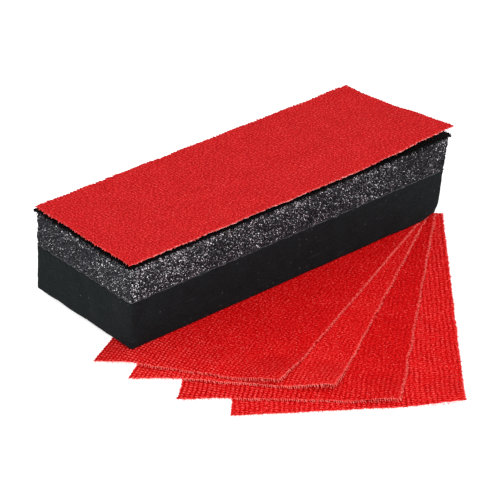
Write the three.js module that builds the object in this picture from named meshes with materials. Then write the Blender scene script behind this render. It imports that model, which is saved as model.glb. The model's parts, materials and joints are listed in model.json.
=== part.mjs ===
// A foam sanding block with an abrasive sheet fitted on its working face, standing on a fan of
// four loose sheets. Millimetres, +Z up. The block's long side runs along X and its working face
// points up. The origin is on the surface that everything stands on, under the middle of the
// whole object.

import * as THREE from "three";

// The block's face, and the layers it is glued up from, lowest first.
const BLOCK_LENGTH = 198;
const BLOCK_WIDTH = 70;
const HARD_FOAM_HEIGHT = 24.5;
const SOFT_FOAM_HEIGHT = 17.5;
const FILM_THICKNESS = 0.2;
const FOAM_CORNER_RADIUS = 1.5;
const FOAM_EDGE_ROUND = 0.6;

// The hook tape: a base cloth with straight rows of hooks standing on it.
const TAPE_OVERHANG = 0.7;
const TAPE_BASE_THICKNESS = 0.5;
const HOOK_HEIGHT = 0.9;
const HOOK_ROW_PITCH = 3;
const HOOK_ROW_WIDTH = 1.4;

// Every sheet is a loop backing with an abrasive cloth bonded on it.
const LOOP_BACKING_THICKNESS = 0.45;
const CLOTH_THICKNESS = 0.4;
const SHEET_CORNER_RADIUS = 1;
const FITTED_SHEET_LENGTH = 199.5;
const FITTED_SHEET_WIDTH = 70;
const FITTED_SHEET_SHIFT = 1; // it was pressed on a little towards the right end

// The four loose sheets share a size and fan out about the block's near right corner. Each angle
// is from +X to a sheet's long side, and each corner is where its near right corner lies, from
// the middle of the block. The first sheet lies on top.
const SPARE_SHEET_LENGTH = 174;
const SPARE_SHEET_WIDTH = 97;
const FAN_FIRST_ANGLE = 25.2;
const FAN_STEP_ANGLE = 7.4;
const FAN_CORNERS = [
  [92, -31],
  [97, -29],
  [100, -30.5],
  [104, -31.5],
];

// Pieces that lie on each other keep this much air between them.
const LAYER_GAP = 0.05;

const SHEET_THICKNESS = LOOP_BACKING_THICKNESS + LAYER_GAP + CLOTH_THICKNESS;
const FAN_HEIGHT = FAN_CORNERS.length * (SHEET_THICKNESS + LAYER_GAP);

function matte(color, roughness) {
  return new THREE.MeshStandardMaterial({ color, roughness, metalness: 0 });
}

const hardFoamBlack = matte(0x1f1f20, 0.85);
const softFoamCharcoal = matte(0x3a3a3e, 0.95);
const filmClear = matte(0x8a8675, 0.5);
const tapeBlack = matte(0x101012, 0.7);
const loopRed = matte(0xd8585a, 0.9);
const clothRed = matte(0xc81e22, 0.8);

// A rectangle with rounded corners, centred on the origin, with its long side along X.
function roundedRectangle(length, width, radius) {
  const x = length / 2;
  const y = width / 2;
  const outline = new THREE.Shape();
  outline.moveTo(-x + radius, -y);
  outline.lineTo(x - radius, -y);
  outline.absarc(x - radius, -y + radius, radius, -Math.PI / 2, 0);
  outline.lineTo(x, y - radius);
  outline.absarc(x - radius, y - radius, radius, 0, Math.PI / 2);
  outline.lineTo(-x + radius, y);
  outline.absarc(-x + radius, y - radius, radius, Math.PI / 2, Math.PI);
  outline.lineTo(-x, -y + radius);
  outline.absarc(-x + radius, -y + radius, radius, Math.PI, 1.5 * Math.PI);
  return outline;
}

// A flat slab whose underside is at height 0, with its upper and lower edges rounded over.
function slab(name, size, thickness, material, edgeRound = 0) {
  const outline = roundedRectangle(size.length, size.width, size.radius);
  const geometry = new THREE.ExtrudeGeometry(outline, {
    depth: thickness - 2 * edgeRound,
    curveSegments: 5,
    bevelEnabled: edgeRound > 0,
    bevelSegments: 3,
    bevelThickness: edgeRound,
    bevelSize: edgeRound,
    bevelOffset: -edgeRound,
  });
  geometry.translate(0, 0, edgeRound);
  const mesh = new THREE.Mesh(geometry, material);
  mesh.name = name;
  return mesh;
}

// The hook tape is one profile along X, with a tooth for each row of hooks, drawn out across Y.
function hookTape(length, width) {
  const rows = Math.floor((length - HOOK_ROW_WIDTH) / HOOK_ROW_PITCH);
  const firstRow = (-(rows - 1) * HOOK_ROW_PITCH) / 2;
  const top = TAPE_BASE_THICKNESS + HOOK_HEIGHT;
  const profile = new THREE.Shape();
  profile.moveTo(length / 2, TAPE_BASE_THICKNESS);
  profile.lineTo(length / 2, 0);
  profile.lineTo(-length / 2, 0);
  profile.lineTo(-length / 2, TAPE_BASE_THICKNESS);
  for (let row = 0; row < rows; row += 1) {
    const left = firstRow + row * HOOK_ROW_PITCH - HOOK_ROW_WIDTH / 2;
    profile.lineTo(left, TAPE_BASE_THICKNESS);
    profile.lineTo(left, top);
    profile.lineTo(left + HOOK_ROW_WIDTH, top);
    profile.lineTo(left + HOOK_ROW_WIDTH, TAPE_BASE_THICKNESS);
  }
  profile.closePath();
  const geometry = new THREE.ExtrudeGeometry(profile, { depth: width, bevelEnabled: false });
  geometry.rotateX(Math.PI / 2);
  geometry.translate(0, width / 2, 0);
  const mesh = new THREE.Mesh(geometry, tapeBlack);
  mesh.name = "hook_tape";
  return mesh;
}

// Puts pieces on top of each other in a group: each layer is [piece, thickness].
function stackUp(group, layers, bottom = 0) {
  let level = bottom;
  for (const [piece, thickness] of layers) {
    piece.position.z = level;
    group.add(piece);
    level += thickness + LAYER_GAP;
  }
  return level;
}

// The two layers of one abrasive sheet, lowest first.
function sheetLayers(name, length, width) {
  const size = { length, width, radius: SHEET_CORNER_RADIUS };
  return [
    [slab(`${name}_loop_backing`, size, LOOP_BACKING_THICKNESS, loopRed), LOOP_BACKING_THICKNESS],
    [slab(`${name}_abrasive_cloth`, size, CLOTH_THICKNESS, clothRed), CLOTH_THICKNESS],
  ];
}

// The glued-up block with its hook tape and the fitted sheet.
function sandingBlock() {
  const block = new THREE.Group();
  const face = { length: BLOCK_LENGTH, width: BLOCK_WIDTH, radius: FOAM_CORNER_RADIUS };
  const tapeLength = BLOCK_LENGTH + 2 * TAPE_OVERHANG;
  const tapeWidth = BLOCK_WIDTH + 2 * TAPE_OVERHANG;
  const fitted = sheetLayers("fitted_sheet", FITTED_SHEET_LENGTH, FITTED_SHEET_WIDTH);
  for (const [piece] of fitted) {
    piece.position.x = FITTED_SHEET_SHIFT;
  }
  stackUp(block, [
    [
      slab("hard_foam_base", face, HARD_FOAM_HEIGHT, hardFoamBlack, FOAM_EDGE_ROUND),
      HARD_FOAM_HEIGHT,
    ],
    [slab("foam_bond_film", face, FILM_THICKNESS, filmClear), FILM_THICKNESS],
    [
      slab("soft_foam_pad", face, SOFT_FOAM_HEIGHT, softFoamCharcoal, FOAM_EDGE_ROUND),
      SOFT_FOAM_HEIGHT,
    ],
    [slab("hook_tape_adhesive", face, FILM_THICKNESS, filmClear), FILM_THICKNESS],
    [hookTape(tapeLength, tapeWidth), TAPE_BASE_THICKNESS + HOOK_HEIGHT],
    ...fitted,
  ]);
  return block;
}

// One loose sheet, turned about its near right corner, which is at the group's own origin.
function spareSheet(number) {
  const index = number - 1;
  const sheet = new THREE.Group();
  const layers = sheetLayers(`spare_sheet_${number}`, SPARE_SHEET_LENGTH, SPARE_SHEET_WIDTH);
  for (const [piece] of layers) {
    piece.position.set(-SPARE_SHEET_LENGTH / 2, SPARE_SHEET_WIDTH / 2, 0);
  }
  stackUp(sheet, layers);
  const [x, y] = FAN_CORNERS[index];
  const sheetsBelow = FAN_CORNERS.length - number;
  sheet.position.set(x, y, sheetsBelow * (SHEET_THICKNESS + LAYER_GAP));
  sheet.rotation.z = THREE.MathUtils.degToRad(FAN_FIRST_ANGLE + index * FAN_STEP_ANGLE);
  return sheet;
}

const assembly = new THREE.Group();
const block = sandingBlock();
block.position.z = FAN_HEIGHT;
assembly.add(block);
for (let number = 1; number <= FAN_CORNERS.length; number += 1) {
  assembly.add(spareSheet(number));
}

// The origin is moved to the middle of the whole footprint.
assembly.updateMatrixWorld(true);
const middle = new THREE.Box3().setFromObject(assembly, true).getCenter(new THREE.Vector3());
assembly.position.set(-middle.x, -middle.y, 0);

const group = new THREE.Group();
group.name = "sanding_block";
group.add(assembly);

export default group;
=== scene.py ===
"""The sanding block as it looks: two foams glued together, a hook face on top, a red abrasive
sheet fitted to the hooks, and four spare sheets fanned out under the block.

Lengths are millimetres until a mesh is made. Places come from the CAD frame, with small shifts
where the photo differs.
"""
import functools
import itertools
import json
import math

import bpy
import numpy as np
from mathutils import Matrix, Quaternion, Vector


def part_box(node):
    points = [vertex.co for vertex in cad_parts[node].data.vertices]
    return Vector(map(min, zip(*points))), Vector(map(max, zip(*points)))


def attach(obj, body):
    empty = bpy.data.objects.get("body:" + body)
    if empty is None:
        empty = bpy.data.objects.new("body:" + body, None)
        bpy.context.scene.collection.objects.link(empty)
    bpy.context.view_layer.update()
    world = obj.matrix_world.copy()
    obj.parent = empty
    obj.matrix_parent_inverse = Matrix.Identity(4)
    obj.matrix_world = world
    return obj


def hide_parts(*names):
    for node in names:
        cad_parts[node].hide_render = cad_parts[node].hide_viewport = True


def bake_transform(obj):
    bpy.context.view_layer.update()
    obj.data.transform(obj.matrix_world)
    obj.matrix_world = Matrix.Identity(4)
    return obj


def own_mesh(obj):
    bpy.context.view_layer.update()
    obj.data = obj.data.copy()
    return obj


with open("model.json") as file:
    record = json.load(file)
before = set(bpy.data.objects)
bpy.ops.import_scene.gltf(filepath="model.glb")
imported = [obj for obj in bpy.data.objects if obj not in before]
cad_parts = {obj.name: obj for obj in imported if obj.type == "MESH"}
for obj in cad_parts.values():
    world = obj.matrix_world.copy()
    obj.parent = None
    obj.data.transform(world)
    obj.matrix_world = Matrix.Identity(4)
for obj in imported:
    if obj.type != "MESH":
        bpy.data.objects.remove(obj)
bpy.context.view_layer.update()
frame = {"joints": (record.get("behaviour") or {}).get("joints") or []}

MM = 0.001


# ---------------------------------------------------------------- what the CAD frame says

def box(node):
    """The lowest and highest corners of a CAD node, in millimetres."""
    low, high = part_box(node)
    return np.array(low) / MM, np.array(high) / MM


def joint(name):
    """A joint of the CAD frame."""
    return next(j for j in frame["joints"] if j["name"] == name)


HARD_LOW, HARD_HIGH = box("hard_foam_base")
BOND_LOW, BOND_HIGH = box("foam_bond_film")
SOFT_LOW, SOFT_HIGH = box("soft_foam_pad")
GLUE_LOW, GLUE_HIGH = box("hook_tape_adhesive")
TAPE_LOW, TAPE_HIGH = box("hook_tape")
FITTED_LOW = box("fitted_sheet_loop_backing")[0]
MIDDLE = (HARD_LOW + HARD_HIGH) / 2
HALF_LENGTH, HALF_WIDTH = (HARD_HIGH - HARD_LOW)[:2] / 2

# The CAD's own thicknesses and flat sizes of the sheets.
BACKING_THICKNESS = 0.45
CLOTH_THICKNESS = 0.40
SPARE_LENGTH, SPARE_WIDTH = 174.0, 97.0
FITTED_LENGTH, FITTED_WIDTH = 199.5, 70.0
LAYER_RISE = box("spare_sheet_3_loop_backing")[0][2] - box("spare_sheet_4_loop_backing")[0][2]


# ---------------------------------------------------------------- numbers that vary smoothly

def smooth(value, start, end):
    """0 before start, 1 after end, and a smooth rise between them."""
    share = np.clip((value - start) / (end - start), 0, 1)
    return share * share * (3 - 2 * share)


def ripple(points, wavelength, seed, waves=9):
    """A smooth random field over the points, about 1 in size, made of plane waves."""
    points = np.asarray(points, float)
    if points.ndim == 1:
        points = points[:, None]
    random = np.random.default_rng(seed)
    total = np.zeros(len(points))
    for _ in range(waves):
        direction = random.normal(size=points.shape[1])
        direction /= np.linalg.norm(direction)
        pace = 2 * math.pi / (wavelength * random.uniform(0.7, 1.4))
        total += np.sin(points @ direction * pace + random.uniform(0, 2 * math.pi))
    return total * math.sqrt(2 / waves)


def cell_random(cells, seed):
    """Three numbers from 0 to 1 for each cell of a grid, the same at every run."""
    key = cells.astype(np.int64) @ np.array([73856093, 19349663, 83492791]) + seed * 2654435761
    key = key.astype(np.uint64)
    numbers = []
    for _ in range(3):
        key = (key ^ (key >> np.uint64(33))) * np.uint64(0xFF51AFD7ED558CCD)
        key = key ^ (key >> np.uint64(33))
        numbers.append((key >> np.uint64(11)) / 2.0**53)
    return np.stack(numbers, axis=1)


def nearest_cells(points, size, seed):
    """Each point's distances to its nearest and second nearest cell middle, in cell sizes."""
    scaled = points / size
    home = np.floor(scaled).astype(np.int64)
    nearest = np.full(len(points), 9.0)
    second = nearest.copy()
    for shift in itertools.product((-1, 0, 1), repeat=3):
        cell = home + np.array(shift)
        distance = np.linalg.norm(cell + cell_random(cell, seed) - scaled, axis=1)
        second = np.minimum(second, np.maximum(distance, nearest))
        nearest = np.minimum(nearest, distance)
    return nearest, second


# ---------------------------------------------------------------- meshes

def make_piece(name, points, faces, finish, numbers=None, place=None):
    """A mesh object. faces is a list of arrays, each with one face a row. place is where each
    point lies for the material's patterns, in millimetres, and numbers are more such values."""
    points = np.asarray(points, float)
    mesh = bpy.data.meshes.new(name)
    corners = np.concatenate([np.asarray(part).ravel() for part in faces]).astype(np.int32)
    sizes = np.concatenate([np.full(len(part), np.shape(part)[1]) for part in faces])
    mesh.vertices.add(len(points))
    mesh.vertices.foreach_set("co", (points * MM).astype(np.float32).ravel())
    mesh.loops.add(len(corners))
    mesh.loops.foreach_set("vertex_index", corners)
    mesh.polygons.add(len(sizes))
    mesh.polygons.foreach_set("loop_start", (np.cumsum(sizes) - sizes).astype(np.int32))
    mesh.polygons.foreach_set("use_smooth", np.full(len(sizes), True))
    mesh.update(calc_edges=True)
    mesh.validate()
    place = points if place is None else place
    mesh.attributes.new("place", "FLOAT_VECTOR", "POINT").data.foreach_set(
        "vector", np.asarray(place, np.float32).ravel()
    )
    for label, values in (numbers or {}).items():
        values = np.broadcast_to(np.asarray(values, np.float32), len(points))
        mesh.attributes.new(label, "FLOAT", "POINT").data.foreach_set(
            "value", np.ascontiguousarray(values)
        )
    mesh.materials.append(finish)
    piece = bpy.data.objects.new(name, mesh)
    bpy.context.scene.collection.objects.link(piece)
    return piece


def ring_faces(rings, count):
    """Quads between closed rings of points, each ring above the one before."""
    start = np.arange(rings - 1)[:, None] * count
    here = np.arange(count)
    after = (here + 1) % count
    quads = [start + here, start + after, start + count + after, start + count + here]
    return np.stack(quads, axis=-1).reshape(-1, 4)


def grid_faces(rows, columns):
    """Quads of a grid of points, facing up when columns run to the right and rows away."""
    first = (np.arange(rows - 1)[:, None] * columns + np.arange(columns - 1)).ravel()
    return np.stack([first, first + 1, first + 1 + columns, first + columns], axis=1)


def grid_rim(rows, columns):
    """The points of a grid along its rim, in order round it."""
    right = np.arange(rows - 1) * columns + columns - 1
    far = rows * columns - 1 - np.arange(columns - 1)
    left = (rows - 1 - np.arange(rows - 1)) * columns
    return np.concatenate([np.arange(columns - 1), right, far, left])


def rounded_outline(half_length, half_width, radius, step):
    """Points evenly spaced round a rectangle with round corners, their outward directions, and
    how far round the rectangle each one is."""
    along = np.linspace(0, math.pi / 2, 12)
    corner_points = []
    for turn, (side_x, side_y) in enumerate(((1, 1), (-1, 1), (-1, -1), (1, -1))):
        angle = along + turn * math.pi / 2
        middle = np.array([side_x * (half_length - radius), side_y * (half_width - radius)])
        corner_points.append(middle + radius * np.stack([np.cos(angle), np.sin(angle)], axis=1))
    line = np.concatenate(corner_points + [corner_points[0][:1]])
    reach = np.concatenate([[0], np.cumsum(np.linalg.norm(np.diff(line, axis=0), axis=1))])
    count = int(round(reach[-1] / step))
    stops = np.linspace(0, reach[-1], count, endpoint=False)
    points = np.stack([np.interp(stops, reach, line[:, i]) for i in (0, 1)], axis=1)
    inner = np.clip(points, [radius - half_length, radius - half_width],
                    [half_length - radius, half_width - radius])
    outward = points - inner
    return points, outward / np.linalg.norm(outward, axis=1)[:, None], stops


def edge_profile(height, edge, step, inset):
    """Heights and insets of a slab's side, from inside its underside to inside its top."""
    angles = np.linspace(0, math.pi / 2, 4)
    bend = [(edge * (1 - math.cos(a)), edge * (1 - math.sin(a))) for a in angles]
    middle = np.arange(edge + step, height - edge - step / 2, step)
    high = [(height - z, offset) for z, offset in reversed(bend)]
    return np.array([(0, inset)] + bend + [(z, 0) for z in middle] + high + [(height, inset)])


def slab(low, high, radius, edge, step_round, step_up, inset=1.2):
    """A slab's rings of points, their outward directions, which of them are on the slab's side,
    the faces, and how far round the slab each point is."""
    half = (high - low) / 2
    outline, outward, stops = rounded_outline(half[0], half[1], radius, step_round)
    profile = edge_profile(high[2] - low[2], edge, step_up, inset)
    count, rings = len(outline), len(profile)
    flat = outline[None] - outward[None] * profile[:, 1][:, None, None]
    centre = (low + high) / 2
    points = np.empty((rings, count, 3))
    points[:, :, :2] = flat + centre[:2]
    points[:, :, 2] = (profile[:, 0] + low[2])[:, None]
    directions = np.zeros_like(points)
    directions[:, :, :2] = outward
    on_side = np.repeat((profile[:, 1] < edge * 0.5)[:, None], count, axis=1)
    faces = [ring_faces(rings, count), np.arange(count)[None, ::-1],
             np.arange(count)[None] + (rings - 1) * count]
    around = np.tile(stops, rings)
    return points.reshape(-1, 3), directions.reshape(-1, 3), on_side.ravel(), faces, around


def tubes(paths, radius, sides=3):
    """Thin closed tubes along many short paths at once, and which tube each point is on.
    paths has one row of points for each tube."""
    amount, stops = paths.shape[:2]
    along = np.gradient(paths, axis=1)
    along /= np.linalg.norm(along, axis=2, keepdims=True) + 1e-9
    helper = np.cross(along, np.array([0.31, 0.42, 0.85]))
    helper /= np.linalg.norm(helper, axis=2, keepdims=True) + 1e-9
    other = np.cross(along, helper)
    angles = np.arange(sides) * 2 * math.pi / sides
    radius = np.broadcast_to(np.asarray(radius, float), (amount, stops))[:, :, None, None]
    ring = (helper[:, :, None] * np.cos(angles)[:, None]
            + other[:, :, None] * np.sin(angles)[:, None])
    points = (paths[:, :, None] + radius * ring).reshape(-1, 3)
    first = (np.arange(amount) * stops * sides)[:, None]
    quads = (first[:, :, None] + ring_faces(stops, sides)[None]).reshape(-1, 4)
    start_caps = first + np.arange(sides)[None, ::-1]
    end_caps = first + (stops - 1) * sides + np.arange(sides)[None]
    owner = np.repeat(np.arange(amount), stops * sides)
    return points, [quads, start_caps, end_caps], owner


# ---------------------------------------------------------------- finishes

SRGB_KNEE = 10.3  # below this, a screen's values rise in a straight line


def srgb(red, green, blue):
    """A colour given as 0 to 255 on a screen, as the shader's linear colour."""
    linear = [((c / 255 + 0.055) / 1.055) ** 2.4 if c > SRGB_KNEE else c / 255 / 12.92
              for c in (red, green, blue)]
    return (*linear, 1.0)


class Finish:
    """A material, with short ways to write the nodes of its patterns. Sizes are millimetres,
    measured over the piece's own place values, so a pattern stays put when the piece moves."""

    def __init__(self, name, roughness, specular, sheen=0.0):
        self.material = bpy.data.materials.new(name)
        self.material.use_nodes = True
        self.tree = self.material.node_tree
        self.shader = self.tree.nodes["Principled BSDF"]
        self.shader.inputs["Roughness"].default_value = roughness
        self.shader.inputs["Specular IOR Level"].default_value = specular
        self.shader.inputs["Sheen Weight"].default_value = sheen
        self.place = self.value("place", "Vector")

    def node(self, kind, inputs=(), **settings):
        made = self.tree.nodes.new(kind)
        for key, setting in settings.items():
            setattr(made, key, setting)
        for key, given in dict(inputs).items():
            if isinstance(given, bpy.types.NodeSocket):
                self.tree.links.new(given, made.inputs[key])
            else:
                made.inputs[key].default_value = given
        return made

    def value(self, label, kind="Fac"):
        """A number stored on the piece's points."""
        return self.node("ShaderNodeAttribute", attribute_name=label).outputs[kind]

    def stretched(self, x, y, z):
        """The places with each direction stretched, for patterns longer one way."""
        made = self.node("ShaderNodeVectorMath", {0: self.place, 1: (1 / x, 1 / y, 1 / z)},
                         operation="MULTIPLY")
        return made.outputs[0]

    def noise(self, size, detail=2.0, places=None, rough=0.5):
        made = self.node("ShaderNodeTexNoise", {
            "Vector": places or self.place, "Scale": 1 / size,
            "Detail": detail, "Roughness": rough})
        return made.outputs["Fac"]

    def cells(self, size, output="Distance", places=None, dimensions="3D"):
        made = self.node("ShaderNodeTexVoronoi", {
            "Vector": places or self.place, "Scale": 1 / size}, voronoi_dimensions=dimensions)
        return made.outputs[output]

    def chances(self, size, places=None, dimensions="3D"):
        """Three random numbers from 0 to 1, each the same all over a cell."""
        colour = self.cells(size, "Color", places, dimensions)
        return self.node("ShaderNodeSeparateColor", {"Color": colour}).outputs

    def threads(self, scale, direction):
        """Wavy bands, like the threads of a cloth in one direction."""
        made = self.node("ShaderNodeTexWave", {
            "Vector": self.place, "Scale": scale, "Distortion": 1.2, "Detail": 2.0,
            "Detail Scale": 1.5}, bands_direction=direction)
        return made.outputs["Fac"]

    def rescale(self, value, low, high, to_low=0.0, to_high=1.0):
        made = self.node("ShaderNodeMapRange", {
            "Value": value, "From Min": low, "From Max": high,
            "To Min": to_low, "To Max": to_high})
        return made.outputs["Result"]

    def math(self, operation, first, second):
        return self.node("ShaderNodeMath", {0: first, 1: second}, operation=operation).outputs[0]

    def mix(self, share, first, second):
        made = self.node("ShaderNodeMix", {0: share, 6: first, 7: second}, data_type="RGBA")
        return made.outputs[2]

    def bump(self, height, depth, strength):
        inputs = {"Height": height, "Distance": depth * MM, "Strength": strength}
        return self.node("ShaderNodeBump", inputs).outputs["Normal"]

    def finish(self, colour, normal, roughness=None):
        self.tree.links.new(colour, self.shader.inputs["Base Color"])
        self.tree.links.new(normal, self.shader.inputs["Normal"])
        if roughness is not None:
            self.tree.links.new(roughness, self.shader.inputs["Roughness"])
        return self.material


def hard_foam_finish():
    """Dense black closed-cell foam with a matt cut face, faint pores, scuffs and dust."""
    f = Finish("hard_foam", roughness=0.9, specular=0.09)
    mottle = f.noise(9, 3)
    fine = f.noise(0.7, 3)
    pores = f.rescale(f.cells(1.1), 0.12, 0.3)
    scuff = f.rescale(f.noise(3.0, 4, f.stretched(3.0, 3.0, 0.6)), 0.60, 0.74)
    dust = f.rescale(f.cells(3.6), 0.12, 0.05)
    dusty = f.math("MULTIPLY", dust, f.rescale(f.noise(14), 0.45, 0.55))
    colour = f.mix(f.rescale(mottle, 0.35, 0.65), srgb(10, 14, 16), srgb(16, 20, 22))
    colour = f.mix(f.rescale(fine, 0.4, 0.7, 0, 0.6), colour, srgb(28, 32, 33))
    colour = f.mix(f.math("MULTIPLY", scuff, 0.25), colour, srgb(44, 48, 51))
    colour = f.mix(f.math("MULTIPLY", dusty, 0.6), colour, srgb(92, 95, 98))
    height = f.math("ADD", f.math("MULTIPLY", fine, 0.6), pores)
    return f.finish(colour, f.bump(height, 0.10, 0.6), f.rescale(mottle, 0.3, 0.7, 0.78, 0.92))


# Two layers of painted highlights (glints) in the soft foam: the size of their cells, the share of
# cells that shine, where on the glint value the layer starts, and how many of its glints are dim.
GLINT_LAYERS = ((0.46, 0.50, 0.0, 1.7), (0.72, 0.24, 0.2, 1.0))


def soft_foam_finish():
    """Grey-black open-cell foam, with painted shade in the pits, greyer walls, and painted
    highlights on the struts.
    """
    f = Finish("soft_foam", roughness=0.8, specular=0.10)
    pit = f.value("pit")
    glint_zone = f.value("glint")
    patch = f.noise(7, 2)
    fine = f.noise(0.6, 2, rough=0.6)
    # Painted shade: the colour darkens into each cell's pit, by the pit value.
    colour = f.mix(f.rescale(pit, 0.10, 0.70), srgb(38, 37, 41), srgb(7, 8, 9))
    colour = f.mix(f.rescale(fine, 0.52, 0.70), colour, srgb(70, 69, 75))
    colour = f.mix(f.rescale(fine, 0.47, 0.33), colour, srgb(6, 6, 8))
    colour = f.mix(f.rescale(patch, 0.4, 0.7, 0, 0.3), colour, srgb(18, 18, 20))
    height = f.node("ShaderNodeSeparateXYZ", {0: f.place}).outputs["Z"]
    unrolled = f.node("ShaderNodeCombineXYZ", {"X": f.value("around"), "Y": height}).outputs[0]
    # Painted highlights: bright specks painted on chosen cells of an unrolled flat pattern, more
    # and brighter where the glint value is high.
    for size, share, zone_start, dimness in GLINT_LAYERS:
        spot = f.rescale(f.cells(size, places=unrolled, dimensions="2D"), 0.42, 0.27)
        chance = f.chances(size, unrolled, "2D")
        zone = f.math("SUBTRACT", glint_zone, zone_start)
        chosen = f.math("LESS_THAN", chance[0], f.math("MULTIPLY", zone, share))
        brightness = f.math("MULTIPLY", f.math("POWER", chance[1], dimness),
                            f.rescale(glint_zone, 0.22, 0.50, 0.55, 1))
        shade = f.mix(brightness, srgb(64, 62, 72), srgb(255, 252, 255))
        colour = f.mix(f.math("MULTIPLY", spot, chosen), colour, shade)
    height = f.math("SUBTRACT", f.math("MULTIPLY", fine, 0.5), f.cells(0.8))
    return f.finish(colour, f.bump(height, 0.25, 0.7))


def film_finish(name, low, high):
    """A thin film of adhesive: slightly glossy, milky where it squeezes out."""
    f = Finish(name, roughness=0.45, specular=0.35)
    colour = f.mix(f.rescale(f.noise(2.0, 3), 0.35, 0.65), low, high)
    return f.finish(colour, f.bump(f.noise(0.8, 2), 0.05, 0.6))


def hook_tape_finish():
    """Black nylon: woven ground, with fibres that shine a little."""
    f = Finish("hook_tape", roughness=0.6, specular=0.08)
    height = f.math("MAXIMUM", f.threads(0.9, "X"), f.threads(0.75, "Y"))
    colour = f.mix(f.rescale(f.noise(1.2, 3), 0.3, 0.7), srgb(4, 4, 5), srgb(13, 13, 15))
    return f.finish(colour, f.bump(height, 0.15, 0.8))


def loop_finish():
    """The sheets' loop backing, a pale pink brushed knit."""
    f = Finish("loop_backing", roughness=0.95, specular=0.05, sheen=0.25)
    pile = f.noise(0.5, 4)
    rows = f.noise(1.0, 2, f.stretched(0.7, 3.0, 1.0))
    colour = f.mix(f.rescale(pile, 0.3, 0.7), srgb(224, 106, 108), srgb(250, 190, 186))
    colour = f.mix(f.rescale(rows, 0.45, 0.7, 0, 0.5), colour, srgb(236, 140, 140))
    return f.finish(colour, f.bump(f.math("ADD", pile, rows), 0.2, 0.8))


def cloth_finish(name, dark, middle, bright, speckle, speckle_size, glints):
    """Red abrasive on knitted cloth: painted shade between the stitches, painted highlights and
    grit on them, and pale at the cut edge, where the fibres of the knit show. speckle says how far
    the uneven grit changes the colour, and the piece's own knit value how strong the stitches'
    painted shade and highlights are. glints is the share of grit cells given a painted glint."""
    f = Finish(name, roughness=0.8, specular=0.04)
    edge = f.value("edge")
    tone = f.value("tone")
    patch = f.noise(12, 3)
    blotch = f.noise(speckle_size, 2, rough=0.6)
    grit = f.noise(0.45, 2)
    # Painted shade and highlight: the colour runs from dark between the stitches to bright on
    # their crowns, as strongly as the knit value says.
    level = f.math("MULTIPLY", f.math("SUBTRACT", f.value("stitch"), 0.38), f.value("knit"))
    level = f.math("ADD", level, 0.40)
    for pattern, low, sway in ((blotch, 0.25, speckle), (grit, 0.25, 0.25), (patch, 0.3, 0.04)):
        level = f.math("ADD", level, f.rescale(pattern, low, 1 - low, -sway, sway))
    level = f.math("ADD", level, tone)
    colour = f.mix(f.rescale(level, 0.0, 0.5), dark, middle)
    colour = f.mix(f.rescale(level, 0.5, 1.1), colour, bright)
    # Painted glints: a few small grit cells are painted as pale red sparkles.
    spot = f.rescale(f.cells(1.0), 0.42, 0.2)
    spot = f.math("MULTIPLY", spot, f.math("LESS_THAN", f.chances(1.0)[0], glints))
    colour = f.mix(f.math("MULTIPLY", spot, 0.5), colour, srgb(255, 120, 112))
    fluff = f.rescale(f.noise(0.6, 3), 0.35, 0.65, 0.5, 1.0)
    colour = f.mix(f.math("MULTIPLY", edge, fluff), colour, srgb(255, 122, 114))
    bump = f.math("ADD", f.math("MULTIPLY", grit, 0.7), f.noise(0.22, 2))
    return f.finish(colour, f.bump(bump, 0.10, 0.7))


def fibre_finish(name, low, high):
    """Loose ends of fibre, each one a little lighter or darker."""
    f = Finish(name, roughness=0.8, specular=0.05)
    colour = f.mix(f.value("fibre"), low, high)
    colour = f.mix(f.rescale(f.noise(0.5, 2), 0.3, 0.7, 0, 0.3), colour, low)
    return f.finish(colour, f.bump(f.noise(0.2, 2), 0.03, 0.5))


HARD_FOAM = hard_foam_finish()
SOFT_FOAM = soft_foam_finish()
BOND_FILM = film_finish("bond_film", srgb(38, 39, 42), srgb(84, 84, 88))
TAPE_FILM = film_finish("tape_film", srgb(30, 30, 33), srgb(70, 70, 74))
HOOK_TAPE = hook_tape_finish()
HOOK_FIBRE = fibre_finish("hook_fibre", srgb(3, 3, 4), srgb(18, 18, 21))
LOOP_BACKING = loop_finish()
# Each cloth's colours: painted shade between the stitches, the middle, and painted highlight on
# them, then the speckle, its size, and the share of painted glints.
FITTED_CLOTH = cloth_finish("fitted_cloth", srgb(153, 12, 15), srgb(203, 28, 31),
                            srgb(242, 80, 78), 0.70, 0.85, 0.010)
SPARE_CLOTH = cloth_finish("spare_cloth", srgb(148, 0, 2), srgb(210, 9, 12),
                           srgb(255, 88, 84), 0.55, 0.95, 0.035)
PALE_FIBRE = fibre_finish("pale_fibre", srgb(255, 62, 58), srgb(255, 158, 148))


# ---------------------------------------------------------------- the block

FOAM_CORNER = 1.5  # the radius of the foam's upright corners
FAR_SIDE_SPREAD = 2.0
LEFT_END_REACH = 70  # how far from the left end the far side starts to spread
RIGHT_END_REACH = 40  # how far from the right end it starts to lean
FOOT_DRAW = 2.9  # how far the right end draws in at its underside
WORN_REACH = 13  # how far from its corner the lower right corner is worn, on the plan
WORN_HEIGHT = 7  # and how far up
WORN_LIFT = 1.3
WORN_INSET = 0.9
CELL_SIZE, FINE_CELL_SIZE = 1.35, 0.7  # the soft foam's cells
# The glints are painted highlights.
GLINT_FADE = 65  # how far the glints spread from the near left corner
TAPE_GROUND = 0.5  # the woven ground under the hooks


def lean_of_side(points):
    """The block's far side spreads out a little towards the underside of its left end."""
    down = np.clip((TAPE_HIGH[2] - points[:, 2]) / (TAPE_HIGH[2] - HARD_LOW[2]), 0, 1)
    left_end = smooth(MIDDLE[0] - points[:, 0], HALF_LENGTH - LEFT_END_REACH, HALF_LENGTH)
    far_side = smooth(points[:, 1] - MIDDLE[1], 0, HALF_WIDTH)
    return FAR_SIDE_SPREAD * down * left_end * far_side


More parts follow.
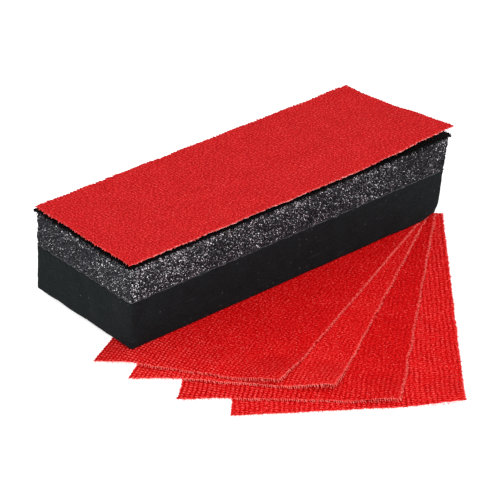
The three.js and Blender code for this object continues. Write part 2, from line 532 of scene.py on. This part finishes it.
def lean_of_end(points):
    """The block's right end isn't square: the soft foam spreads out towards its top, and the
    hard foam draws in towards its underside."""
    height = points[:, 2] - HARD_HIGH[2]
    up = np.clip(height / (TAPE_HIGH[2] - HARD_HIGH[2]), 0, 1)
    down = np.clip(-height / (HARD_HIGH[2] - HARD_LOW[2]), 0, 1)
    near_end = smooth(points[:, 0] - MIDDLE[0], HALF_LENGTH - RIGHT_END_REACH, HALF_LENGTH)
    near_side = smooth(MIDDLE[1] - points[:, 1], -HALF_WIDTH, HALF_WIDTH)
    spread = 0.8 + 2.8 * up
    return near_end * (near_side * spread - (0.6 + 0.4 * near_side) * FOOT_DRAW * down)


def lean(points, place):
    """Move points of the block out of square, by where they lie in the square block."""
    points[:, 0] += lean_of_end(place)
    points[:, 1] += lean_of_side(place)


def hard_foam():
    points, outward, _, faces, _ = slab(HARD_LOW, HARD_HIGH, FOAM_CORNER, 0.6, 0.9, 0.9)
    place = points.copy()
    points += outward * (0.10 * ripple(place, 14, 3) + 0.04 * ripple(place, 3, 4))[:, None]
    lean(points, place)
    corner = np.hypot(place[:, 0] - HARD_HIGH[0], place[:, 1] - HARD_LOW[1])
    low_down = smooth(-place[:, 2], -HARD_LOW[2] - WORN_HEIGHT, -HARD_LOW[2])
    worn = smooth(-corner, -WORN_REACH, 0) * low_down
    points[:, 2] += WORN_LIFT * worn
    points[:, :2] -= outward[:, :2] * (WORN_INSET * worn)[:, None]
    piece = make_piece("hard_foam_base_cut", points, faces, HARD_FOAM, place=place)
    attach(piece, "block")
    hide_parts("hard_foam_base")


def soft_foam():
    """Open cells cut through: a pit in each cell, with walls and struts standing between."""
    points, outward, on_side, faces, around = slab(
        SOFT_LOW, SOFT_HIGH, FOAM_CORNER, 0.4, 0.36, 0.36)
    place = points.copy()
    nearest, second = nearest_cells(place, CELL_SIZE, 7)
    wall = smooth(second - nearest, 0.02, 0.42)
    fine_near, fine_second = nearest_cells(place, FINE_CELL_SIZE, 8)
    fine_wall = smooth(fine_second - fine_near, 0.05, 0.5)
    # pit is how much painted shade a point gets: most in the middle of each cell, where the
    # surface sinks, and a little on the top and bottom faces.
    pit = np.where(on_side, 0.7 * wall + 0.3 * fine_wall, 0.3)
    depth = np.where(on_side, 0.55 * wall + 0.18 * fine_wall - 0.25, 0.1)
    depth -= 0.12 * ripple(place, 5, 9) * on_side
    points -= outward * depth[:, None]
    lean(points, place)
    x, y = place[:, 0] - MIDDLE[0], place[:, 1] - MIDDLE[1]
    from_corner = np.hypot(x + HALF_LENGTH, y + HALF_WIDTH)
    # The glint value sets how many painted highlights there are and how bright they are: most near
    # the near left corner.
    glint = 0.27 + 0.30 * np.exp(-from_corner / GLINT_FADE) + 0.05 * ripple(place, 30, 10)
    # Painted light by face: the left end is painted lighter, with far less shade in its pits, and
    # with fewer painted highlights than the long sides.
    left_end = outward[:, 0] < -0.5
    glint = glint * np.where(left_end, 0.8, 1.1)
    pit = pit * np.where(left_end, 0.45, 1.15)
    glint = np.clip(glint + 0.06 * ripple(place, 7, 11), 0.03, 1)
    # Painted light under the tape's overhang: more painted highlights and less painted shade near
    # the top, to offset the real shade there.
    under_tape = smooth(place[:, 2], SOFT_HIGH[2] - 5, SOFT_HIGH[2] - 0.5)
    glint = glint * (1 + under_tape)
    pit = pit * (1 - 0.6 * under_tape)
    # A painted highlight along the top and bottom rims: the pits' painted shade is lighter there.
    rim = smooth(np.abs(place[:, 2] - (SOFT_LOW[2] + SOFT_HIGH[2]) / 2), 7.9, 8.6)
    pit = pit * (1 - 0.35 * rim)
    piece = make_piece("soft_foam_pad_cells", points, faces, SOFT_FOAM,
                       {"pit": pit, "glint": glint, "around": around}, place)
    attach(piece, "block")
    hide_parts("soft_foam_pad")
    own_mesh(piece)


def film(name, low, high, finish, body, node, seed, proud):
    """A thin layer of adhesive whose edge wanders in and out of the joint."""
    points, outward, _, faces, _ = slab(low, high, FOAM_CORNER, 0.05, 0.8, 0.1, 1.0)
    place = points.copy()
    flat = place[:, :2]
    wander = proud + 0.18 * ripple(flat, 5, seed) + 0.1 * ripple(flat, 1.8, seed + 1)
    points += outward * wander[:, None]
    lean(points, place)
    piece = make_piece(name, points, faces, finish, place=place)
    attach(piece, body)
    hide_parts(node)


def ragged_cut(stops):
    """How far the tape's roughly cut edge wanders out at each stop round it."""
    return 0.34 * ripple(stops, 3.4, 21) + 0.26 * ripple(stops, 1.3, 22)


def tape_outline(step):
    """Points round the hook tape's edge, which is cut roughly and overhangs the foam."""
    half = (TAPE_HIGH - TAPE_LOW) / 2
    outline, outward, stops = rounded_outline(half[0], half[1], 1.0, step)
    centre = (TAPE_LOW + TAPE_HIGH)[:2] / 2
    return outline + outward * ragged_cut(stops)[:, None] + centre, outward


def hook_tape():
    high = np.array([TAPE_HIGH[0], TAPE_HIGH[1], TAPE_LOW[2] + TAPE_GROUND])
    points, outward, _, faces, _ = slab(TAPE_LOW, high, 1.0, 0.1, 0.45, 0.2, 0.9)
    place = points.copy()
    stops = np.arctan2(place[:, 1] - MIDDLE[1], place[:, 0] - MIDDLE[0]) * 60 + place[:, 0]
    points += outward * ragged_cut(stops)[:, None]
    lean(points, place)
    piece = make_piece("hook_tape_ground", points, faces, HOOK_TAPE, place=place)
    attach(piece, "hook_face")
    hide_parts("hook_tape")


HOOK_PITCH = 1.5  # along a row
HOOK_ROW_PITCH = 1.7
HOOK_RADIUS = 0.14
# A hook's course: how far out it reaches in millimetres, and up as a share of its height.
HOOK_COURSE = ((0.0, -0.1), (0.0, 0.5), (0.12, 0.82), (0.32, 0.94), (0.5, 0.74))


def hook_field():
    """Rows of small nylon hooks, which turn over one way in one row and the other in the next."""
    random = np.random.default_rng(31)
    across = np.arange(TAPE_LOW[1] + 0.9, TAPE_HIGH[1] - 0.5, HOOK_ROW_PITCH)
    along = np.arange(TAPE_LOW[0] + 0.9, TAPE_HIGH[0] - 0.5, HOOK_PITCH)
    rows, columns = np.meshgrid(np.arange(len(across)), np.arange(len(along)), indexing="ij")
    every_other = HOOK_PITCH / 2 * (rows % 2)
    foot = np.stack([along[columns] + every_other, across[rows]], axis=-1).reshape(-1, 2)
    way = np.where(rows.ravel() % 2 == 0, 1.0, -1.0)
    foot += random.normal(0, 0.1, foot.shape)
    angle = random.normal(0, 0.35, len(foot))
    over = way[:, None] * np.stack([np.cos(angle), np.sin(angle)], axis=1)
    top = TAPE_HIGH[2] - TAPE_LOW[2] - TAPE_GROUND
    size = random.uniform(0.88, 1.0, len(foot))
    paths = np.empty((len(foot), len(HOOK_COURSE), 3))
    for stop, (out, up) in enumerate(HOOK_COURSE):
        paths[:, stop, :2] = foot + over * (out * size)[:, None]
        paths[:, stop, 2] = TAPE_LOW[2] + TAPE_GROUND + up * top * size
    points, faces, owner = tubes(paths, HOOK_RADIUS)
    points[:, 0] += lean_of_end(points)
    shade = random.uniform(0, 1, len(foot))[owner]
    piece = make_piece("hook_tape_hooks", points, faces, HOOK_FIBRE, {"fibre": shade})
    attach(piece, "hook_face")


def hook_fringe():
    """Cut ends of the tape's yarns, which stick out and hang a little over the soft foam."""
    random = np.random.default_rng(33)
    outline, outward = tape_outline(0.42)
    amount = len(outline)
    root = outline - outward * 0.5
    reach = random.uniform(0.3, 1.0, amount)
    sideways = random.normal(0, 0.35, (amount, 2))
    paths = np.empty((amount, 4, 3))
    height = TAPE_LOW[2] + random.uniform(0.1, 1.1, amount)
    tuft = np.clip(ripple(np.arange(amount), 11, 24), -1, 1.2)
    hang = random.uniform(-0.1, 0.8, amount) + 1.3 * np.clip(tuft, 0, None)
    reach = reach * (1 + 0.5 * tuft)
    for stop, share in enumerate((0.0, 0.4, 0.75, 1.0)):
        paths[:, stop, :2] = root + outward * (0.5 * share + reach * share * 0.6)[:, None]
        paths[:, stop, :2] += sideways * share**2
        paths[:, stop, 2] = height - hang * share**2
    radius = random.uniform(0.13, 0.26, amount)[:, None] * np.array([1.0, 1.0, 0.9, 0.6])
    points, faces, owner = tubes(paths, radius)
    points[:, 0] += lean_of_end(points)
    shade = random.uniform(0, 0.8, amount)[owner]
    piece = make_piece("hook_tape_yarn_ends", points, faces, HOOK_FIBRE,
                       {"fibre": shade})
    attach(piece, "hook_face")


# ---------------------------------------------------------------- the sheets

class Sheet:
    """A sheet of abrasive cloth. Its corners are points on the floor plan, and rise gives the
    height of its underside at any point of the plan. width runs from corner 0 to corner 1, and
    length from corner 0 to corner 2, so that the sheet faces up."""

    def __init__(self, corners, width, length, rise, seed, rough=1.0):
        self.corners = np.asarray(corners, float)
        self.width, self.length = width, length
        self.rise = rise
        self.seed = seed
        self.rough = rough

    def fray(self, stops, side):
        """How far the cut edge wanders out at each stop along one side."""
        seed = self.seed * 10 + side
        wander = 0.14 * ripple(stops, 26, seed) + 0.10 * ripple(stops, 5, seed + 40)
        return self.rough * (wander + 0.16 * ripple(stops, 1.7, seed + 80))

    def plan(self, across, along):
        """Points of the plan at distances across the width and along the length, with the
        edges wandering."""
        def pull(distance):
            return np.clip(1 - distance / 3, 0, 1) ** 2
        moved_across = across - pull(across) * self.fray(along, 0)
        moved_across = moved_across + pull(self.width - across) * self.fray(along, 1)
        moved_along = along - pull(along) * self.fray(across, 2)
        moved_along = moved_along + pull(self.length - along) * self.fray(across, 3)
        s, t = (moved_across / self.width)[:, None], (moved_along / self.length)[:, None]
        start, right, far, far_right = self.corners
        return (start * (1 - s) * (1 - t) + right * s * (1 - t)
                + far * (1 - s) * t + far_right * s * t)

    def edge_path(self, step):
        """Points round the cut edge, their outward directions and which side each is on."""
        stops, sides = [], []
        for side, (low, high, turn) in enumerate((
                ((0, 0), (self.width, 0), (0, -1)),
                ((self.width, 0), (self.width, self.length), (1, 0)),
                ((self.width, self.length), (0, self.length), (0, 1)),
                ((0, self.length), (0, 0), (-1, 0)))):
            low, high = np.array(low, float), np.array(high, float)
            count = int(np.linalg.norm(high - low) / step)
            share = (np.arange(count) + 0.5)[:, None] / count
            stops.append(low + (high - low) * share)
            sides.append(np.tile(np.array([*turn, side], float), (count, 1)))
        stops, sides = np.concatenate(stops), np.concatenate(sides)
        here = self.plan(stops[:, 0], stops[:, 1])
        inside = self.plan(stops[:, 0] - sides[:, 0], stops[:, 1] - sides[:, 1])
        outward = here - inside
        outward /= np.linalg.norm(outward, axis=1)[:, None]
        return here, outward, sides[:, 2].astype(int), stops


def grid_over(sheet, step_across, step_along):
    """The columns and rows of a grid over a sheet, and how far across and along its points are."""
    columns = int(round(sheet.width / step_across)) + 1
    rows = int(round(sheet.length / step_along)) + 1
    across, along = np.meshgrid(np.linspace(0, sheet.width, columns),
                                np.linspace(0, sheet.length, rows))
    return columns, rows, across.ravel(), along.ravel()


STEPS_IN_STITCH = 4  # the points of the cloth's mesh to each stitch, each way
# A stitch's pitch across and along the sheet, and its height.
FITTED_STITCH = (1.7, 1.36, 0.20)
SPARE_STITCH = (2.1, 1.7, 0.24)


def stitches(across, along, pitch_across, pitch_along, seed):
    """The knit: columns of slanting stitches that run along the sheet, 1 at the crown of each
    stitch and 0 between them."""
    flat = np.stack([across, along], axis=1)
    column_place = across / pitch_across + 0.12 * ripple(flat, 23, seed + 5)
    column = np.round(column_place)
    off_column = column_place - column
    start = column / 3 + 0.08 * np.sin(column * 12.9898 + seed)
    turns = along / pitch_along + start + 0.8 * off_column
    crown = 0.5 + 0.5 * np.cos(2 * math.pi * turns)
    return np.cos(math.pi * off_column) * crown


def abrasive_cloth(name, sheet, finish, pitch_across, pitch_along, height, edge_share,
                   knit, tone=0.0, strong_corner=0.0):
    """The knitted top of a sheet, each stitch a small real bump, with a skirt down to the backing.
    edge_share says how pale each cut edge is: near, right, far and left. strong_corner makes the
    stitches' painted shade and highlights stronger, and the colour lighter, near the sheet's first
    corner."""
    columns, rows, across, along = grid_over(
        sheet, pitch_across / STEPS_IN_STITCH, pitch_along / STEPS_IN_STITCH)
    flat = np.stack([across, along], axis=1)
    stitch = stitches(across, along, pitch_across, pitch_along, sheet.seed)
    random = np.random.default_rng(sheet.seed + 6)
    stitch = np.clip(stitch * random.uniform(0.75, 1.15, len(stitch)), 0, 1)
    # Near the first corner the stitches' painted shade and highlights are stronger, and the colour
    # lighter.
    near_end = np.exp(-(along / 32) ** 2)
    cornered = strong_corner * near_end * (0.4 + 0.6 * np.exp(-(across / 50) ** 2))
    plan = sheet.plan(across, along)
    base = sheet.rise(plan) + BACKING_THICKNESS
    top = base + CLOTH_THICKNESS - height + height * stitch
    to_edges = np.stack([along, sheet.width - across, sheet.length - along, across])
    pale = np.zeros(len(flat))
    for side, share in enumerate(edge_share):
        ragged = 0.9 + 0.35 * ripple(flat, 2.1, sheet.seed + 60 + side)
        pale = np.maximum(pale, share * smooth(-to_edges[side], -ragged, 0.2))
    pale = pale * np.clip(0.6 + 0.5 * ripple(flat, 1.7, sheet.seed + 65), 0, 1)
    points = np.column_stack([plan, top])
    place = np.column_stack([flat, np.zeros(len(flat))])
    rim = grid_rim(rows, columns)
    skirt = np.column_stack([plan[rim], base[rim]])
    here = np.arange(len(rim))
    after = np.roll(here, -1)
    sides = np.stack([len(points) + here, len(points) + after, rim[after], rim[here]], axis=1)
    points = np.concatenate([points, skirt])
    place = np.concatenate([place, place[rim] + [0, 0, -CLOTH_THICKNESS]])
    patchy = 1 + 0.35 * ripple(flat, 13, sheet.seed + 66)
    knit = np.clip(knit * patchy + cornered * (1.35 - knit), 0, 1.35)
    tone = tone + 0.20 * cornered
    numbers = {"stitch": np.concatenate([stitch, 0.3 * stitch[rim]]),
               "edge": np.concatenate([pale, 0.5 * pale[rim]]),
               "knit": np.concatenate([knit, knit[rim]]),
               "tone": np.concatenate([tone, tone[rim] - 0.1])}
    return make_piece(name, points, [grid_faces(rows, columns), sides], finish,
                      numbers, place)


def loop_backing(name, sheet, step, inset):
    """The sheet's backing: a thin closed layer with a soft, uneven pile underneath. It stops
    about inset short of the abrasive's cut edge."""
    columns, rows, across, along = grid_over(sheet, step, step)
    shrink = 1 - 2 * inset / np.array([sheet.width, sheet.length])
    plan = sheet.plan(across, along)
    centre = sheet.corners.mean(axis=0)
    plan = centre + (plan - centre) * shrink.mean()
    flat = np.stack([across, along], axis=1)
    under = sheet.rise(plan)
    pile = 0.10 * np.clip(ripple(flat, 1.9, sheet.seed + 70), -1, 1) + 0.05
    low = np.column_stack([plan, under + np.clip(pile, 0, 0.2)])
    high = np.column_stack([plan, under + BACKING_THICKNESS - 0.03])
    points = np.concatenate([high, low])
    depth = np.repeat([0.0, -BACKING_THICKNESS], len(flat))
    place = np.column_stack([np.tile(flat, (2, 1)), depth])
    rim = grid_rim(rows, columns)
    after = np.roll(rim, -1)
    sides = np.stack([rim + len(flat), after + len(flat), after, rim], axis=1)
    top_faces = grid_faces(rows, columns)
    return make_piece(name, points, [top_faces, top_faces[:, ::-1] + len(flat), sides],
                      LOOP_BACKING, place=place)


# How a loose end of fibre runs: out of the cut edge, and down, as shares of its reach and drop.
FIBRE_COURSE = ((-0.9, 0.2), (-0.4, 0.0), (0.3, 0.05), (0.8, 0.5), (1.0, 1.0))


def edge_fibres(name, sheet, pitch, size_by_side, share_by_side, pale_by_side, seed, curl=None):
    """Loose ends of the knit along the cut edge, which slant one way and turn down. curl gives
    how far the edge stands off what is below it, so that the ends can hang into the gap."""
    random = np.random.default_rng(seed)
    here, outward, side, stops = sheet.edge_path(pitch)
    kept = random.uniform(size=len(here)) < np.array(share_by_side)[side]
    here, outward, side, stops = here[kept], outward[kept], side[kept], stops[kept]
    amount = len(here)
    tangent = np.stack([-outward[:, 1], outward[:, 0]], axis=1)
    gap = np.zeros(amount) if curl is None else curl(here)
    slant = random.normal(0.7, 0.25, amount)
    reach = np.array(size_by_side)[side] * random.uniform(0.5, 1.1, amount)
    drop = random.uniform(0.2, 0.8, amount) + gap * random.uniform(0.1, 0.45, amount)
    under = sheet.rise(here)
    top = under + BACKING_THICKNESS + CLOTH_THICKNESS + random.uniform(-0.40, -0.04, amount)
    paths = np.empty((amount, len(FIBRE_COURSE), 3))
    for stop, (out, down) in enumerate(FIBRE_COURSE):
        paths[:, stop, :2] = here + outward * (reach * out)[:, None]
        paths[:, stop, :2] += tangent * (slant * reach * max(out, 0))[:, None]
        paths[:, stop, 2] = top - drop * down
    lowest = np.maximum(under - gap, 0) + 0.20
    paths[:, :, 2] = np.maximum(paths[:, :, 2], lowest[:, None])
    radius = random.uniform(0.11, 0.17, amount)[:, None] * np.ones(len(FIBRE_COURSE))
    points, faces, owner = tubes(paths, radius)
    shade = random.uniform(0, 0.4, amount) + 0.6 * np.array(pale_by_side)[side]
    place = np.column_stack([stops[owner], points[:, 2]])
    return make_piece(name, points, faces, PALE_FIBRE,
                      {"fibre": shade[owner]}, place)


# ---- the sheet fitted to the hook face

CORNER_SIDES = ((-1, -1), (1, -1), (-1, 1), (1, 1))  # near left, near right, far left, far right
# How far each corner of the sheet lies from the block's own, to the right and to the far side.
FITTED_CORNER_SHIFTS = ((-0.2, -0.2), (5.3, -0.3), (-0.2, 0.5), (-1.4, 0.6))
FITTED_LIFT = 2.9  # how high the near right corner stands off the hooks


def fitted_rise(plan):
    """The fitted sheet lies on the hooks, and lifts at its near right corner."""
    x, y = plan[:, 0] - MIDDLE[0], plan[:, 1] - MIDDLE[1]
    lift = FITTED_LIFT * smooth(x, 30, 104) ** 1.3 * smooth(-y, -18, 36)
    wave = 0.10 * (1 + ripple(plan, 46, 91) * 0.7)
    return FITTED_LOW[2] + np.clip(wave, 0, 0.3) + lift


def fitted_sheet():
    corners = np.array(CORNER_SIDES) * [HALF_LENGTH, HALF_WIDTH] + FITTED_CORNER_SHIFTS
    sheet = Sheet(corners + MIDDLE[:2], FITTED_LENGTH, FITTED_WIDTH, fitted_rise, 5, 1.3)
    cloth = abrasive_cloth("fitted_sheet_abrasive", sheet, FITTED_CLOTH, *FITTED_STITCH,
                           (0.4, 0.2, 0.1, 0.3), knit=0.45)
    backing = loop_backing("fitted_sheet_loops", sheet, 1.4, 0.35)
    ends = edge_fibres("fitted_sheet_edge_fibres", sheet, 1.0, (0.45, 0.45, 0.45, 0.45),
                       (0.4, 0.4, 0.4, 0.5), (0.3, 0.1, 0.1, 0.3), 51)
    for piece in (cloth, backing, ends):
        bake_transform(piece)
    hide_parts("fitted_sheet_abrasive_cloth")
    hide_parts("fitted_sheet_loop_backing")


# ---- the spare sheets

# The CAD's spare sheets are square. These two bring their near corners to the photo's. A trim is
# in from the left, in from the right and up at the right corner, or out when below zero.
CUT_OFF_SQUARE = math.radians(7.8)
NEAR_END_TRIM = {1: (5.5, 5.2, 1.5), 2: (1.0, 4.2, 3.5), 3: (-1.0, -0.3, 1.0),
                 4: (-3.5, -3.2, 2.3)}
CORNER_LIFT = {1: 3.0, 2: 3.0, 3: 2.0, 4: 2.0}  # how high each near right corner curls up
CURL_REACH = 26.0  # how far from its corner a curl reaches
SINK_REACH = 25.0  # how far past a lower sheet's left edge the one above it meets the floor
# How pale the near, right, far and left cut edges are.
PALE_EDGES = {1: (0.6, 0.8, 0.1, 0.1), 2: (0.9, 0.8, 0.1, 0.1),
              3: (0.5, 0.8, 0.1, 0.1), 4: (0.1, 0.1, 0.1, 0.1)}
# How much lighter each sheet is.
TONE = {1: -0.03, 2: 0.04, 3: -0.05, 4: 0.07}
# How strongly each sheet's stitches are painted with shade and highlight, and how much more at the
# near left corner.
STITCH_SHADE_AND_HIGHLIGHT = {1: (0.28, 1.0), 2: (0.28, 1.0), 3: (0.28, 1.0), 4: (0.66, 0.3)}


def spare_corners(number):
    """A spare sheet's four corners on the plan, from its slide's direction and its CAD box."""
    pull = joint(f"spare_sheet_{number}_pull")
    away = -np.array(pull["axis"][:2])
    right = np.array([away[1], -away[0]])
    low, high = box(f"spare_sheet_{number}_loop_backing")
    centre = (low + high)[:2] / 2
    start = centre - right * SPARE_WIDTH / 2 - away * SPARE_LENGTH / 2
    askew = away * SPARE_WIDTH * math.tan(CUT_OFF_SQUARE)
    trim_left, trim_right, trim_corner = NEAR_END_TRIM[number]
    near_left = start - 0.9 * askew + right * trim_left
    near_right = start + away * trim_corner + right * (SPARE_WIDTH - trim_right)
    return np.array([near_left, near_right, start + away * SPARE_LENGTH,
                     start + right * SPARE_WIDTH + away * SPARE_LENGTH])


SPARE_PLANS = {number: spare_corners(number) for number in (1, 2, 3, 4)}


def left_of(plan, corners):
    """How far each point of the plan lies beyond the line of a sheet's left edge."""
    near_left, _, far_left, _ = corners
    along = (far_left - near_left) / np.linalg.norm(far_left - near_left)
    outward = np.array([-along[1], along[0]])
    return (plan - near_left) @ outward


def clear_of_block(plan):
    """0 under the block, rising to 1 away from it."""
    reach = np.abs(plan - MIDDLE[:2]) - [HALF_LENGTH, HALF_WIDTH]
    outside = np.hypot(*np.clip(reach, 0, None).T)
    return smooth(outside, 2, 40)


def corner_curl(number, plan):
    """How far one spare sheet's near right corner curls up at each point of the plan."""
    distance = np.linalg.norm(plan - SPARE_PLANS[number][1], axis=1)
    return CORNER_LIFT[number] * smooth(-distance, -CURL_REACH, 0)


def spare_rise(number):
    """The height of one spare sheet's underside. It lies flat on the sheet below it, and sinks
    to the floor past that sheet's left edge. That edge is the line along which the lower sheet
    slides, so the sheets stay clear of each other when one is pulled. Only the top one is wavy."""
    def rise(plan):
        height = corner_curl(number, plan)
        if number < 4:
            on_lower = smooth(-left_of(plan, SPARE_PLANS[number + 1]), -SINK_REACH, -0.6)
            height += LAYER_RISE * (4 - number) * on_lower
        if number == 1:
            wave = np.clip(0.6 + 0.6 * ripple(plan, 34, 77), 0, None)
            height += 0.35 * wave * clear_of_block(plan)
        return height
    return rise


def spare_sheet(number):
    body = f"spare_sheet_{number}"
    sheet = Sheet(SPARE_PLANS[number], SPARE_WIDTH, SPARE_LENGTH, spare_rise(number), number)
    pale = PALE_EDGES[number]
    knit, strong_corner = STITCH_SHADE_AND_HIGHLIGHT[number]
    cloth = abrasive_cloth(f"{body}_abrasive", sheet, SPARE_CLOTH, *SPARE_STITCH, pale,
                           knit, TONE[number], strong_corner)
    backing = loop_backing(f"{body}_loops", sheet, 1.5, 0.5)
    ends = edge_fibres(f"{body}_edge_fibres", sheet, 0.95, (1.0, 0.55, 0.5, 0.4),
                       (0.95, 0.9, 0.3, 0.2), pale, 60 + number,
                       functools.partial(corner_curl, number))
    for piece in (cloth, backing, ends):
        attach(piece, body)
    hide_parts(f"{body}_abrasive_cloth")
    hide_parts(f"{body}_loop_backing")


# ---------------------------------------------------------------- floor, light and camera

FLOOR_REACH = 4  # metres
FLOOR_GLOW = 0.6
ROOM_LIGHT = 0.72
# Each lamp's name, place and size in metres, and power in watts.
LAMPS = (("key", (-0.80, -0.75, 0.75), 0.6, 12.0), ("fill", (0.5, -0.5, 1.0), 0.8, 3.0))
LAMP_AIM = (0, 0, 0.02)


def stage():
    mesh = bpy.data.meshes.new("floor")
    far = FLOOR_REACH
    corners = [(-far, -far, 0), (far, -far, 0), (far, far, 0), (-far, far, 0)]
    mesh.from_pydata(corners, [], [(0, 1, 2, 3)])
    floor = bpy.data.objects.new("floor", mesh)
    bpy.context.scene.collection.objects.link(floor)
    material = bpy.data.materials.new("floor")
    material.use_nodes = True
    shader = material.node_tree.nodes["Principled BSDF"]
    shader.inputs["Base Color"].default_value = (0.8, 0.8, 0.8, 1)
    shader.inputs["Roughness"].default_value = 0.9
    shader.inputs["Specular IOR Level"].default_value = 0.0
    shader.inputs["Emission Color"].default_value = (1, 1, 1, 1)
    shader.inputs["Emission Strength"].default_value = FLOOR_GLOW
    mesh.materials.append(material)
    world = bpy.data.worlds.new("studio")
    world.use_nodes = True
    room = world.node_tree.nodes["Background"].inputs
    room["Color"].default_value = (1, 1, 1, 1)
    room["Strength"].default_value = ROOM_LIGHT
    bpy.context.scene.world = world


def area_light(name, place, size, power):
    light = bpy.data.lights.new(name, "AREA")
    light.shape = "SQUARE"
    light.size = size
    light.energy = power
    lamp = bpy.data.objects.new(name, light)
    lamp.location = place
    lamp.rotation_mode = "QUATERNION"
    lamp.rotation_quaternion = (Vector(LAMP_AIM) - Vector(place)).to_track_quat("-Z", "Y")
    bpy.context.scene.collection.objects.link(lamp)


CAMERA_AZIMUTH = -41.43  # degrees, as are the next two
CAMERA_ELEVATION = 30.27
CAMERA_ROLL = 0.81
CAMERA_DISTANCE = 1.1872  # metres
CAMERA_LENS = 175.5
CAMERA_AIM = (1.71, -1.29)  # from the block's middle, on the plane of its underside


def camera():
    data = bpy.data.cameras.new("camera")
    data.sensor_width = 36
    data.lens = CAMERA_LENS
    data.clip_start, data.clip_end = 0.05, 20
    eye = bpy.data.objects.new("camera", data)
    turn, up = math.radians(CAMERA_AZIMUTH), math.radians(CAMERA_ELEVATION)
    back = Vector((math.sin(turn) * math.cos(up), -math.cos(turn) * math.cos(up), math.sin(up)))
    aim = Vector((MIDDLE[0] + CAMERA_AIM[0], MIDDLE[1] + CAMERA_AIM[1], HARD_LOW[2])) * MM
    eye.location = aim + back * CAMERA_DISTANCE
    eye.rotation_mode = "QUATERNION"
    roll = Quaternion((0, 0, 1), math.radians(CAMERA_ROLL))
    eye.rotation_quaternion = (-back).to_track_quat("-Z", "Y") @ roll
    bpy.context.scene.collection.objects.link(eye)
    bpy.context.scene.camera = eye


camera()
stage()
for lamp in LAMPS:
    area_light(*lamp)
bpy.context.scene.view_settings.view_transform = "Standard"
bpy.context.scene.view_settings.look = "None"

hard_foam()
film("foam_bond_line", BOND_LOW, BOND_HIGH, BOND_FILM, "block", "foam_bond_film", 12, 0.12)
soft_foam()
film("hook_tape_glue_line", GLUE_LOW, GLUE_HIGH, TAPE_FILM, "hook_face",
     "hook_tape_adhesive", 14, 0.0)
hook_tape()
hook_field()
hook_fringe()
fitted_sheet()
for sheet_number in (4, 3, 2, 1):
    spare_sheet(sheet_number)
